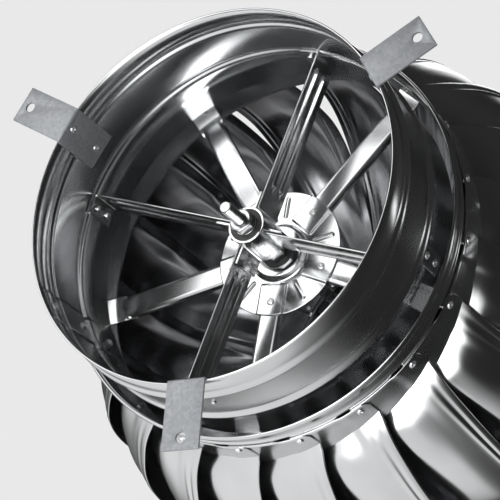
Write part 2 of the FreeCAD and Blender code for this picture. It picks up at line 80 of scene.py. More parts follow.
STRUT_COUNT = 4
STRUTS_AT = 18.0
STRUT_Z0, STRUT_WIDTH = 71.0, 29.5
STRUT_MID = STRUT_Z0 + STRUT_WIDTH / 2
STRUT_START = 15.55
STRUT_STEP = 2.0
STRUT_BEND_R = 1.9
STRUT_WALL_R = COLLAR_R - SHEET - SEAT_GAP
STRUT_TAB_FROM, STRUT_TAB_TO = 0.28, 5.8
STRUT_RIBS = (79.85, 91.65)
STRUT_RIB_DEPTH = 2.2
STRUT_RIB_HALF, STRUT_RIB_SIDE = 2.6, 1.7     # half width of a rib at its foot, and run of its side
STRUT_RIB_FROM, STRUT_RIB_TO = 34.0, 140.0
STRUT_RIB_RUN = 5.0        # length over which a rib rises and ends
STRUT_RIVETS_BACK = 2.9    # degrees from a strut to its tab's rivets
STRUT_RIVET_HEIGHTS = (78.7, 92.8)
STRUT_ROWS = 30
STRUT_STRAIGHT, STRUT_BEND, STRUT_TAB = 65, 6, 8     # columns of the mesh along the strut

HUB_R, HUB_BORE = 15.0, 13.0
HUB_Z0, HUB_Z1 = 67.0, 102.0
WING_FROM, WING_TO, WING_T = 14.0, 30.0, 2.0
WING_INSET = 0.5           # of a wing's ends from the strut's edges, and of a weld's from the wing's
WELD_R = 1.5
BUSH_LENGTH = 9.0

SPINDLE_R, SPINDLE_Z0, SPINDLE_Z1 = 5.0, 33.0, 370.9
SHANK_FROM, SHANK_TO = 66.4, 340.0
THREAD_ROOT, THREAD_CREST, THREAD_PITCH = 4.25, 4.98, 1.5
THREAD_STEPS = 40          # faces in a turn of the thread
NUT_FLATS, NUT_HEIGHT, NUT_BORE = 17.0, 8.4, 5.05
NUT_FACE_R = 8.05          # washer face of a nut
NUT_CHAMFER = 0.577        # fall of the chamfer for each millimetre outwards
NUT_MOUTH_WIDE, NUT_MOUTH_DEEP = 0.5, 0.4     # countersink of the bore
WASHER_R, WASHER_T = 9.0, 1.6
RIVET_R, RIVET_HEAD_R = 1.6, 3.1

# Sizes of the spinning body

BEARING_R, BEARING_WIDTH = 13.0, 8.0
INNER_RING_R, OUTER_RING_R = 7.6, 10.6
LOW_BEARING_Z, HIGH_BEARING_Z = 120.4, 352.5
SEAL_T = 0.8
DUST_SEAL_R, DUST_SEAL_T = 10.5, 1.4

RING_R, RING_Z0 = 162.0, 81.0
RING_LIP_WIDE, RING_LIP_HIGH = 3.4, 3.6     # half width and half height of the rolled lip
RING_LIP_FROM = -62.0      # angle at which the lip's round starts, below level
RING_BEAD_DEPTH, RING_BEAD_HIGH = 1.2, 4.8
RING_FLARE, RING_FLARE_HIGH = 3.5, 8.0
# above the ring's lower end: foot of the plain wall, bead and flare
RING_WALL_FROM, RING_BEAD_FROM, RING_FLARE_FROM = 9.5, 16.35, 64.5

ARM_COUNT = 5
ARMS_AT = 23.5
ARM_PITCH = 360.0 / ARM_COUNT
ARM_START, ARM_BEND, ARM_KNEE_R = 30.0, 142.0, 158.4
ARM_TOP = 124.65           # upper side of the channel's web
ARM_SPREAD = 29.6          # width that the rows of the mesh are spread over
ARM_WEB_HALF = 7.05
ARM_FOLD = 1.57            # length of a flange's fold, whose radius is 1 mm
ARM_FLANGE = 3.8           # straight part of a flange
ARM_FLAT_FROM = 131.0      # where the channel starts to open out
ARM_TAB_HALF = 11.0
ARM_KNEE_DROP = 2.65
ARM_TAB_BEND_R = 2.3
ARM_TAB_DROP = 15.2
ARM_ROWS = 26
ARM_STRAIGHT, ARM_RAMP, ARM_KNEE, ARM_TAB = 46, 8, 6, 6     # columns of the mesh along the arm
DISC_RIVETS_R, DISC_RIVETS_Z = 41.0, 122.2

DISC_R, DISC_WEB_R, DISC_WEB_Z = 52.0, 24.4, 123.8
# the disc's lower side from its bearing seat to its web, as (radius, height)
DISC_COLLAR = [(BEARING_R + FIT_GAP, z) for z in (128.4, 124.0, 120.2)] + [
    (13.4, 119.3), (14.3, 119.0), (17.0, 119.0), (20.4, 119.0), (21.3, 119.3), (23.4, 123.0)]
POCKET_DEPTH, POCKET_HALF, POCKET_FROM = 1.6, 11.7, 25.6
POCKET_SIDE, POCKET_END = 1.2, 1.4     # run of a pocket's sides and of its end
RIDGE_DEPTH, RIDGE_HALF, RIDGE_FROM, RIDGE_TO = 0.8, 2.4, 29.0, 48.0
RIDGE_END = 2.0            # run of a ridge's ends
DISC_WEB_ROWS, DISC_COLUMNS = 36, 480

VANE_COUNT = 20
VANES_AT = 5.5             # first rivet
VANE_PITCH = 360.0 / VANE_COUNT
VANE_Z0, VANE_RIVET_Z = 105.0, 112.0
VANE_RIVET_IN = 10.0       # from the vane's right edge
VANE_CORNER = 5.0
CREASE_Z, CREASE_RISE = 135.5, 18.0
BELLY_R, BELLY_Z = 220.0, 250.0
TAB_R = 163.8
TOP_R, TOP_DEG, TOP_TAB = 112.0, 78.0, 20.0
LOW_HALF, HIGH_HALF = 120.0, 100.0     # half heights of the ellipses below and above the belly
LAP_LOW, LAP_MID, LAP_HIGH = 15.6, 5.0, 5.2
LAP_STEP = 0.9             # sheet and gap that a lapped edge is set in by
VANE_FLANGE, VANE_DEPTH, VANE_SWEEP = 7.5, 28.0, 5.0
FOOT_ROWS, CURVE_ROWS, TOP_ROWS, VANE_COLUMNS = 8, 50, 3, 48
# from a vane's crease (0) to its top tab (1): share of the pressed shape, and of the crease's slant
PRESSED = [(k / 10, max(0.0, math.sin(math.pi * k / 10)) ** 0.7) for k in range(11)]
CREASE = [(0.0, 1.0), (0.1, 0.4), (0.2, 0.0), (1.0, 0.0)]

CROWN_R, CROWN_FLAT_R, CROWN_HOLE_R, CROWN_RIVETS_R = 113.6, 36.0, 19.0, 101.0
CROWN_RIVETS_ON = 6.5      # degrees from a vane's foot rivet to its crown rivet
CUP_SHEET, CUP_FLANGE_R = 1.5, 29.0
CAP_BRIM_R, CAP_R, CAP_HEIGHT = 26.0, 22.0, 16.0

# Materials

def linear(code):
    """Linear RGBA from an sRGB hex value."""
    channels = [int(code[i:i + 2], 16) / 255 for i in (1, 3, 5)]
    return tuple(c / 12.92 if c <= 0.04045 else ((c + 0.055) / 1.055) ** 2.4 for c in channels) + (1.0,)


def add(tree, kind, settings=None, **links):
    """Add a node, set its properties and sockets, and link its inputs by name, or by number as i0, i1."""
    node = tree.nodes.new(kind)
    for key, value in (settings or {}).items():
        if key in node.inputs.keys():
            node.inputs[key].default_value = value
        else:
            setattr(node, key, value)
    for key, source in links.items():
        numbered = key[0] == "i" and key[1:].isdigit()
        socket = node.inputs[int(key[1:])] if numbered else node.inputs[key.replace("_", " ")]
        tree.links.new(source, socket)
    return node


def blank(name):
    """Material with a plain shader, its node tree and its Object coordinates."""
    material = bpy.data.materials.new(name)
    material.use_nodes = True
    tree = material.node_tree
    tree.nodes.clear()
    shader = add(tree, "ShaderNodeBsdfPrincipled")
    output = add(tree, "ShaderNodeOutputMaterial")
    tree.links.new(shader.outputs[0], output.inputs[0])
    place = add(tree, "ShaderNodeTexCoord").outputs["Object"]
    return material, tree, shader, place


def metal(name, metallic=1.0):
    """The same for a metal."""
    material, tree, shader, place = blank(name)
    shader.inputs["Metallic"].default_value = metallic
    return material, tree, shader, place


def ramp(tree, source, stops):
    """Colour ramp through (position, colour) stops."""
    node = add(tree, "ShaderNodeValToRGB", i0=source)
    for i, (position, colour) in enumerate(stops):
        stop = node.color_ramp.elements[i] if i < 2 else node.color_ramp.elements.new(position)
        stop.position = position
        stop.color = colour
    return node.outputs["Color"]


def tint(tree, shader, source, first, last):
    """Base colour between two (level, sRGB shade) pairs of a texture."""
    colour = ramp(tree, source, [(level, linear(shade)) for level, shade in (first, last)])
    tree.links.new(colour, shader.inputs["Base Color"])


def spread(tree, shader, source, smooth, rough, low=0.0, high=1.0):
    """Roughness from smooth to rough as a texture runs from low to high."""
    settings = {"From Min": low, "From Max": high, "To Min": smooth, "To Max": rough}
    level = add(tree, "ShaderNodeMapRange", settings, Value=source)
    tree.links.new(level.outputs[0], shader.inputs["Roughness"])


def dent(tree, shader, source, strength, depth):
    """Fine relief from a texture, its depth in metres."""
    bump = add(tree, "ShaderNodeBump", {"Strength": strength, "Distance": depth}, Height=source)
    tree.links.new(bump.outputs[0], shader.inputs["Normal"])


def mirror_stainless():
    """Stainless sheet, buffed to a mirror: sharp reflections, a faint haze of wiping, slight waves."""
    material, tree, shader, place = metal("mirror_polished_stainless")
    haze = add(tree, "ShaderNodeTexNoise", {"Scale": 14.0, "Detail": 3.0, "Roughness": 0.5}, Vector=place)
    tint(tree, shader, haze.outputs["Fac"], (0.3, "#c2c3c4"), (0.7, "#cecfd0"))
    spread(tree, shader, haze.outputs["Fac"], 0.16, 0.22, 0.3, 0.75)
    # sheet waves about 50 mm long
    waves = add(tree, "ShaderNodeTexNoise", {"Scale": 18.0, "Detail": 0.0}, Vector=place)
    dent(tree, shader, waves.outputs["Fac"], 0.38, 0.001)
    return material


def mill_and_painted_shade_stainless():
    """Back of the sheet, left as it was rolled: grey, half dull, with a soft cloudy gloss; its dark grey is
    partly the mill finish and partly painted shade for the inside of the head.
    """
    material, tree, shader, place = metal("mill_rolled_stainless_painted_shade")
    cloud = add(tree, "ShaderNodeTexNoise", {"Scale": 30.0, "Detail": 4.0}, Vector=place)
    # dark grey of the inner faces: partly mill finish, partly painted shade inside the head
    tint(tree, shader, cloud.outputs["Fac"], (0.3, "#7c7d7f"), (0.7, "#929395"))
    spread(tree, shader, cloud.outputs["Fac"], 0.16, 0.26)
    return material


def bright_strip():
    """Cold-rolled steel strip, bright: reflections softer than the polished sheet's and drawn out one way."""
    material, tree, shader, place = metal("bright_rolled_steel")
    shader.inputs["Anisotropic"].default_value = 0.35
    cloud = add(tree, "ShaderNodeTexNoise", {"Scale": 60.0, "Detail": 5.0}, Vector=place)
    tint(tree, shader, cloud.outputs["Fac"], (0.3, "#c6c7c8"), (0.7, "#d6d7d7"))
    spread(tree, shader, cloud.outputs["Fac"], 0.16, 0.28)
    return material


def zinc_coat():
    """Hot-dip galvanised strip: matt grey, with crystals about 2 mm across and a fine dusty bloom."""
    material, tree, shader, place = metal("galvanised_zinc_coat", 0.6)
    grains = add(tree, "ShaderNodeTexVoronoi", {"Scale": 420.0, "Randomness": 1.0}, Vector=place)
    crystal = add(tree, "ShaderNodeSeparateColor", Color=grains.outputs["Color"])
    tint(tree, shader, crystal.outputs[0], (0.0, "#7c7e81"), (1.0, "#898b8e"))
    spread(tree, shader, crystal.outputs[1], 0.40, 0.52)
    dust = add(tree, "ShaderNodeTexNoise", {"Scale": 900.0, "Detail": 3.0}, Vector=place)
    dent(tree, shader, dust.outputs["Fac"], 0.25, 0.0002)
    return material


def rivet_aluminium():
    """Tumbled aluminium of blind rivets: soft satin dome with small pits."""
    material, tree, shader, place = metal("tumbled_aluminium")
    pits = add(tree, "ShaderNodeTexNoise", {"Scale": 1200.0, "Detail": 3.0}, Vector=place)
    tint(tree, shader, pits.outputs["Fac"], (0.35, "#d2d3d4"), (0.65, "#ececec"))
    shader.inputs["Roughness"].default_value = 0.3
    dent(tree, shader, pits.outputs["Fac"], 0.2, 0.0001)
    return material


def turned_steel():
    """Turned and ground steel of spindle, nuts and bearings: fine rings round the axis, lightly oiled."""
    material, tree, shader, place = metal("turned_steel")
    squash = add(tree, "ShaderNodeMapping", {"Scale": (6.0, 6.0, 2600.0)}, Vector=place)
    lines = add(tree, "ShaderNodeTexNoise", {"Scale": 1.0, "Detail": 2.0}, Vector=squash.outputs[0])
    tint(tree, shader, lines.outputs["Fac"], (0.3, "#8e8f91"), (0.7, "#c2c3c4"))
    spread(tree, shader, lines.outputs["Fac"], 0.16, 0.34)
    return material


def moulded_rubber():
    """Moulded nitrile rubber: deep black with a dull bloom and a fine mould grain."""
    material, tree, shader, place = blank("moulded_nitrile_rubber")
    bloom = add(tree, "ShaderNodeTexNoise", {"Scale": 180.0, "Detail": 4.0}, Vector=place)
    tint(tree, shader, bloom.outputs["Fac"], (0.3, "#0d0d0e"), (0.75, "#232324"))
    shader.inputs["Roughness"].default_value = 0.5
    shader.inputs["IOR"].default_value = 1.52
    dent(tree, shader, bloom.outputs["Fac"], 0.15, 0.0002)
    return material


# inner faces of vanes and crown plate: mill grey darkened as painted shade
MILL_AND_PAINTED_SHADE = mill_and_painted_shade_stainless()
FINISH = {
    "polished_stainless": mirror_stainless(),
    "bright_steel": bright_strip(),
    "galvanised_steel": zinc_coat(),
    "rivet_metal": rivet_aluminium(),
    "machined_steel": turned_steel(),
    "black_rubber": moulded_rubber(),
}
SLOT_OF = {s["node"]: s["material_slot"] for s in frame["record"]["subparts"]}
BODY_OF = {node: body for body, nodes in frame["record"]["behaviour"]["bodies"].items() for node in nodes}


# Mesh helpers

def to_mesh(bm, name):
    """Mesh in metres from a bmesh in millimetres."""
    bmesh.ops.scale(bm, vec=(MM, MM, MM), verts=bm.verts)
    mesh = bpy.data.meshes.new(name)
    bm.to_mesh(mesh)
    bm.free()
    return mesh


def piece(mesh, name, nodes, slot=None, body=None, smooth=35.0, wall=0.0, lining=None):
    """Place a mesh as a piece: shading, finish, sheet thickness, body, and the nodes it stands for.

    A wall thickens the sheet inwards in millimetres, and a lining is the finish of its inner face.
    """
    slot = slot or SLOT_OF[nodes[0]]
    body = body or BODY_OF[nodes[0]]
    for polygon in mesh.polygons:
        polygon.use_smooth = True
    mesh.set_sharp_from_angle(angle=math.radians(smooth))
    mesh.materials.clear()
    mesh.materials.append(FINISH[slot])
    made = bpy.data.objects.new(name, mesh)
    bpy.context.scene.collection.objects.link(made)
    if wall:
        skin = made.modifiers.new("wall", "SOLIDIFY")
        skin.thickness = wall * MM
        skin.offset = -1.0
        skin.use_even_offset = True
        if lining:
            mesh.materials.append(lining)
            skin.material_offset = 1
    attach(made, body)
    if nodes:
        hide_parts(*nodes)


def join(bm, other, matrix=None):
    """Add another bmesh to the first, moved by a matrix."""
    mesh = bpy.data.meshes.new("part")
    other.to_mesh(mesh)
    other.free()
    if matrix is not None:
        mesh.transform(matrix)
    bm.from_mesh(mesh)
    bpy.data.meshes.remove(mesh)


def bevel(bm, geometry, offset, segments=2, affect="EDGES"):
    """Round some edges or corners."""
    bmesh.ops.bevel(bm, geom=geometry, offset=offset, segments=segments, profile=0.5, affect=affect,
                    material=-1)


def close_up(bm, reach):
    """Merge doubled vertices and make the normals agree."""
    bmesh.ops.remove_doubles(bm, verts=bm.verts, dist=reach)
    bmesh.ops.recalc_face_normals(bm, faces=bm.faces)
    return bm


def sweep(points, angle, steps, closed=False, rise=0.0, round_by=0.0, segments=4, merge=True):
    """Shell swept about Z from a profile of (radius, height) with rounded corners, raised at each step."""
    shell = bmesh.new()
    verts = [shell.verts.new((r, 0.0, z)) for r, z in points]
    for pair in list(zip(verts, verts[1:])) + ([(verts[-1], verts[0])] if closed else []):
        shell.edges.new(pair)
    if round_by:
        corners = [v for v in shell.verts if len(v.link_edges) == 2]
        bevel(shell, corners, round_by, segments, "VERTICES")
    bmesh.ops.spin(shell, geom=shell.verts[:] + shell.edges[:], cent=(0, 0, 0), axis=(0, 0, 1),
                   dvec=(0, 0, rise), angle=angle, steps=steps, use_merge=merge, use_duplicate=False)
    return shell


def lathe(points, round_by=0.0, steps=256, closed=False, segments=4):
    """Shell turned about Z from an open or closed profile, its normals made to agree."""
    return close_up(sweep(points, TURN, steps, closed, 0.0, round_by, segments), 0.0005)


def face_away(bm, centre=Vector((0, 0, 0))):
    """Turn an open shell so that its faces look away from the upright line through a point."""
    total = 0.0
    for face in bm.faces:
        way = face.calc_center_median() - centre
        way.z = 0
        total += face.normal.dot(way) * face.calc_area()
    if total < 0:
        bmesh.ops.reverse_faces(bm, faces=bm.faces)
    return bm


def face_level(bm, way):
    """Turn an open shell so that its faces look up (way 1) or down (way -1)."""
    if way * sum(face.normal.z * face.calc_area() for face in bm.faces) < 0:
        bmesh.ops.reverse_faces(bm, faces=bm.faces)
    return bm


def bent_grid(rows, columns, place):
    """Grid whose vertex at row i and column j is moved to place(i, j)."""
    bm = bmesh.new()
    bmesh.ops.create_grid(bm, x_segments=columns, y_segments=rows, size=1.0)
    for vert in bm.verts:
        vert.co = place(round((vert.co.y + 1) / 2 * rows), round((vert.co.x + 1) / 2 * columns))
    return bm


def ease(x):
    """Smooth step from 0 to 1."""
    x = min(1.0, max(0.0, x))
    return x * x * (3 - 2 * x)


def curve(points, x):
    """Smooth monotone curve through points of (x, y)."""
    slopes = [(b[1] - a[1]) / (b[0] - a[0]) for a, b in zip(points, points[1:])]
    i = max(k for k in range(len(slopes)) if k == 0 or points[k][0] <= x)
    before, here = slopes[max(i - 1, 0)], slopes[i]
    after = slopes[min(i + 1, len(slopes) - 1)]
    start = 0.0 if before * here <= 0 else 2 * before * here / (before + here)
    end = 0.0 if here * after <= 0 else 2 * here * after / (here + after)
    (x0, y0), (x1, y1) = points[i], points[i + 1]
    h = x1 - x0
    t = min(1.0, max(0.0, (x - x0) / h))
    return (y0 * (1 + 2 * t) * (1 - t) ** 2 + start * h * t * (1 - t) ** 2
            + y1 * t * t * (3 - 2 * t) + end * h * t * t * (t - 1))


def turned(degrees):
    """Matrix of a turn about the spin axis."""
    return Matrix.Rotation(math.radians(degrees), 4, "Z")


def around(angle, radius, z):
    """Point at an angle in radians, a radius and a height."""
    return Vector((radius * math.cos(angle), radius * math.sin(angle), z))


def copies(mesh, count, first):
    """Copies of a mesh spaced evenly about the spin axis, numbered from 1."""
    for i in range(count):
        copy = mesh.copy()
        copy.transform(turned(first + i * 360.0 / count))
        yield i + 1, copy


# Fixed body

def throat():
    """Rolled collar with two swaged beads, a hemmed lower rim and a riveted lap seam inside."""
    line = [(COLLAR_R, COLLAR_LOW_Z)]
    for z in COLLAR_BEADS:
        line += [(COLLAR_R, z - COLLAR_BEAD_HALF), (COLLAR_R + COLLAR_BEAD_DEPTH, z - COLLAR_CREST_HALF),
                 (COLLAR_R + COLLAR_BEAD_DEPTH, z + COLLAR_CREST_HALF), (COLLAR_R, z + COLLAR_BEAD_HALF)]
    line.append((COLLAR_R, COLLAR_TOP))
    shell = face_away(lathe(line, COLLAR_ROUND, segments=5))
    piece(to_mesh(shell, "collar"), "collar", ["throat"], wall=SHEET)
    hem = [(HEM_R + HEM_HALF_WIDTH * math.cos(a), HEM_Z + HEM_HALF_HEIGHT * math.sin(a))
           for a in [TURN * i / 12 for i in range(12)]]
    piece(to_mesh(lathe(hem, closed=True), "hem"), "hem", [], "polished_stainless", "stator")
    inner = lathe([(r - SHEET, z) for r, z in line], COLLAR_ROUND, segments=5)
    for angle, keep in ((SEAM_FROM, 1), (SEAM_TO, -1)):
        side = Vector((-math.sin(math.radians(angle)), math.cos(math.radians(angle)), 0)) * keep
        bmesh.ops.bisect_plane(inner, geom=inner.verts[:] + inner.edges[:] + inner.faces[:], dist=0.0001,
                               plane_co=(0, 0, 0), plane_no=side, clear_inner=True, clear_outer=False)
    piece(to_mesh(face_away(inner), "lap"), "lap_seam", [], "polished_stainless", "stator", wall=SHEET)


def strut_surface(row, column):
    """Strip on edge with two pressed ribs, its end bent along the collar's wall."""
    z = STRUT_Z0 + STRUT_WIDTH * row / STRUT_ROWS
    if column <= STRUT_STRAIGHT:
        x = STRUT_START + STRUT_STEP * column
        rib = sum(STRUT_RIB_DEPTH * ease((STRUT_RIB_HALF - abs(z - middle)) / STRUT_RIB_SIDE)
                  for middle in STRUT_RIBS)
        rib *= ease((x - STRUT_RIB_FROM) / STRUT_RIB_RUN) * ease((STRUT_RIB_TO - x) / STRUT_RIB_RUN)
        return Vector((x, STRIP_T + rib, z))
    bend = (column - STRUT_STRAIGHT) / STRUT_BEND
    if bend <= 1:
        a = math.pi / 2 * bend
        return Vector((STRUT_WALL_R - STRUT_BEND_R * (1 - math.sin(a)),
                       STRIP_T - STRUT_BEND_R * (1 - math.cos(a)), z))
    along = (column - STRUT_STRAIGHT - STRUT_BEND) / STRUT_TAB
    return around(math.radians(-STRUT_TAB_FROM - (STRUT_TAB_TO - STRUT_TAB_FROM) * along), STRUT_WALL_R, z)


def struts():
    """Four ribbed strips of the spider."""
    bm = bent_grid(STRUT_ROWS, STRUT_STRAIGHT + STRUT_BEND + STRUT_TAB, strut_surface)
    # the strip's outer face looks away from a point far to its side
    aside = Vector((0, -400, 0))
    mesh = to_mesh(face_away(bm, aside), "strut")
    for i, copy in copies(mesh, STRUT_COUNT, STRUTS_AT):
        piece(copy, "strut_strip_%d" % i, ["strut_%d" % i], wall=STRIP_T, smooth=50)


def hub():
    """Tube with four flat wings, welded on beside the struts."""
    bm = lathe(ring_profile(HUB_BORE, HUB_R, HUB_Z0, HUB_Z1 - HUB_Z0), EDGE_BREAK, 96, True, 3)
    height = STRUT_WIDTH - 2 * WING_INSET
    for i in range(STRUT_COUNT):
        wing = bmesh.new()
        bmesh.ops.create_cube(wing, size=1.0,
                              matrix=Matrix.Translation(((WING_FROM + WING_TO) / 2, -WING_T / 2, STRUT_MID))
                              @ Matrix.Diagonal((WING_TO - WING_FROM, WING_T, height, 1.0)))
        bevel(wing, wing.edges[:], EDGE_BREAK)
        weld = bmesh.new()
        bmesh.ops.create_cone(weld, cap_ends=True, segments=14, radius1=WELD_R, radius2=WELD_R,
                              depth=height - 2 * WING_INSET,
                              matrix=Matrix.Translation((HUB_R - 0.1, 0.3 - WING_T, STRUT_MID)))
        for part in (wing, weld):
            join(bm, part, turned(STRUTS_AT + 90 * i))
    piece(to_mesh(bm, "hub"), "hub_body", ["hub"], smooth=40)


def ring_profile(r_in, r_out, z, height):
    """Square profile of a ring."""
    return [(r_in, z), (r_out, z), (r_out, z + height), (r_in, z + height)]


def rings(name, node, profiles, round_by=0.25, steps=96):
    """Group of closed rings from their profiles."""
    bm = bmesh.new()
    for profile in profiles:
        join(bm, lathe(profile, round_by, steps, True, 3))
    piece(to_mesh(bm, name), name, [node], smooth=40)


def spindle():
    """Fixed spindle with rolled M10 threads at both ends."""
    tip, chamfer = THREAD_ROOT - 0.25, 1.0
    core = [(0.0, SPINDLE_Z0), (tip, SPINDLE_Z0), (THREAD_ROOT, SPINDLE_Z0 + 0.3),
            (THREAD_ROOT, SHANK_FROM - chamfer), (SPINDLE_R, SHANK_FROM), (SPINDLE_R, SHANK_TO),
            (THREAD_ROOT, SHANK_TO + chamfer), (THREAD_ROOT, SPINDLE_Z1 - 0.4), (tip, SPINDLE_Z1),
            (0.0, SPINDLE_Z1)]
    bm = lathe(core, 0.0, 64)
    foot = THREAD_ROOT - 0.05
    tooth = ((foot, 0.0), (THREAD_CREST, 0.62), (THREAD_CREST, 0.88), (foot, THREAD_PITCH))
    for z0, turns in ((SPINDLE_Z0 + 0.8, 15), (SHANK_TO + chamfer, 19)):
        # the spin's rise is for one step
        thread = sweep([(r, z0 + z) for r, z in tooth], TURN * turns, THREAD_STEPS * turns,
                       rise=THREAD_PITCH / THREAD_STEPS, merge=False)
        join(bm, face_away(close_up(thread, 0.01)))
    piece(to_mesh(bm, "spindle"), "spindle_rod", ["spindle"], smooth=40)


def nut(z0):
    """Hexagon nut, chamfered on both faces."""
    sixth = math.pi / 3

    def surface(row, column):
        angle = math.radians(5.0 * column)
        rim = NUT_FLATS / 2 / math.cos((angle + sixth / 2) % sixth - sixth / 2)
        drop = (rim - NUT_FACE_R) * NUT_CHAMFER
        mouth = NUT_BORE + NUT_MOUTH_WIDE
        deep, top = NUT_MOUTH_DEEP, NUT_HEIGHT
        r, z = ((NUT_BORE, top - deep), (mouth, top), (NUT_FACE_R, top), (rim, top - drop), (rim, drop),
                (NUT_FACE_R, 0.0), (mouth, 0.0), (NUT_BORE, deep), (NUT_BORE, top - deep))[row]
        return around(angle, r, z0 + z)

    return close_up(bent_grid(8, 72, surface), 0.001)


def nuts():
    """One nut under the hub, two on it and one on each side of the upper bearing."""
    bm = bmesh.new()
    on_hub = HUB_Z1 + WASHER_T
    for z0 in (HUB_Z0 - WASHER_T - NUT_HEIGHT, on_hub, on_hub + NUT_HEIGHT,
               HIGH_BEARING_Z - NUT_HEIGHT, HIGH_BEARING_Z + BEARING_WIDTH):
        join(bm, nut(z0))
    piece(to_mesh(bm, "nuts"), "hexagon_nuts", ["spindle_nuts"], smooth=25)


def brackets():
    """Bent strip feet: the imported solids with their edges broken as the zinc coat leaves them."""
    for i in range(1, len(BRACKETS_AT) + 1):
        node = "bracket_%d" % i
        bm = bmesh.new()
        bm.from_mesh(frame["nodes"][node].data)
        bmesh.ops.remove_doubles(bm, verts=bm.verts, dist=0.00001)
        bmesh.ops.dissolve_limit(bm, angle_limit=math.radians(1.0), verts=bm.verts, edges=bm.edges)
        sharp = [e for e in bm.edges if len(e.link_faces) == 2 and e.calc_face_angle(0) > math.radians(60)]
        bevel(bm, sharp, EDGE_BREAK * MM)
        bmesh.ops.scale(bm, vec=(1 / MM, 1 / MM, 1 / MM), verts=bm.verts)
        piece(to_mesh(bm, node), "bracket_strip_%d" % i, [node], smooth=30)


def blind_rivet(grip, bulge):
    """Blind rivet on +Z: domed head with the mandrel's recess, shank down through the grip, bulged tail."""
    line = [(0.0, 0.75), (0.62, 0.7), (0.7, 0.45), (1.0, 0.5), (1.15, 1.32), (1.45, 1.42), (2.0, 1.3),
            (2.6, 0.95), (RIVET_HEAD_R - 0.1, 0.45), (RIVET_HEAD_R, 0.0), (RIVET_R, 0.0), (RIVET_R, -grip),
            (bulge, -grip - 0.3), (bulge - 0.1, -grip - 1.0), (bulge - 0.6, -grip - 1.4), (0.0, -grip - 1.5)]
    return lathe(line, 0.0, 24)


def aim(way, point):
    """Matrix that stands +Z along a direction at a point."""
    return Matrix.Translation(point) @ Vector(way).to_track_quat("Z", "Y").to_matrix().to_4x4()


def rivets(name, node, grip, places, bulge=1.9):
    """Group of rivets at (angle, local matrix) places."""
    bm = bmesh.new()
    for angle, matrix in places:
        join(bm, blind_rivet(grip, bulge), turned(angle) @ matrix)
    piece(to_mesh(bm, name), name, [node], smooth=45)


# Spinning body

def head_ring():
    """Rolled ring: bright lower lip, a bead and a flared top."""
    turns = [math.radians(RING_LIP_FROM + 12 * i) for i in range(12)]
    lip_r, lip_z = RING_R - 0.4, RING_Z0 + RING_LIP_HIGH
    lip = [(lip_r + RING_LIP_WIDE * math.cos(a), lip_z + RING_LIP_HIGH * math.sin(a)) for a in turns]
    bead = [(RING_R + RING_BEAD_DEPTH / 2 * (1 - math.cos(TURN * i / 12)),
             RING_Z0 + RING_BEAD_FROM + RING_BEAD_HIGH * i / 12) for i in range(13)]
    flare = [(RING_R + RING_FLARE * ease(i / 8), RING_Z0 + RING_FLARE_FROM + RING_FLARE_HIGH * i / 8)
             for i in range(9)]
    shell = face_away(lathe(lip + [(RING_R, RING_Z0 + RING_WALL_FROM)] + bead + flare))
    piece(to_mesh(shell, "ring"), "ring_band", ["head_ring"], wall=SHEET)


def off_line(angle, radius, first, pitch):
    """Distances along and beside the nearest of the lines that leave the axis at even angles."""
    turn = math.radians((angle - first + pitch / 2) % pitch - pitch / 2)
    return radius * math.cos(turn), radius * abs(math.sin(turn))


def disc_surface(row, column):
    """Lower side of the pressed disc: collar, boss, and web with pockets for the arms and ridges between."""
    angle = 360.0 * column / DISC_COLUMNS
    if row < len(DISC_COLLAR):
        r, z = DISC_COLLAR[row]
        return around(math.radians(angle), r, z)
    r = DISC_WEB_R + (DISC_R - DISC_WEB_R) * (row - len(DISC_COLLAR)) / DISC_WEB_ROWS
    x, y = off_line(angle, r, ARMS_AT, ARM_PITCH)
    pocket = ease((POCKET_HALF - y) / POCKET_SIDE) * ease((x - POCKET_FROM) / POCKET_END)
    z = DISC_WEB_Z - POCKET_DEPTH * pocket
    x, y = off_line(angle, r, ARMS_AT + ARM_PITCH / 2, ARM_PITCH)
    ends = ease((x - RIDGE_FROM) / RIDGE_END) * ease((RIDGE_TO - x) / RIDGE_END)
    z -= RIDGE_DEPTH * ease((RIDGE_HALF - y) / RIDGE_HALF) * ends
    return around(math.radians(angle), r, z)


def disc():
    """Pressed disc that the arms and the lower bearing are fastened in."""
    bm = bent_grid(len(DISC_COLLAR) + DISC_WEB_ROWS, DISC_COLUMNS, disc_surface)
    bmesh.ops.remove_doubles(bm, verts=bm.verts, dist=0.001)
    piece(to_mesh(face_level(bm, -1), "disc"), "disc_pressing", ["head_disc"], wall=STRIP_T, smooth=50)


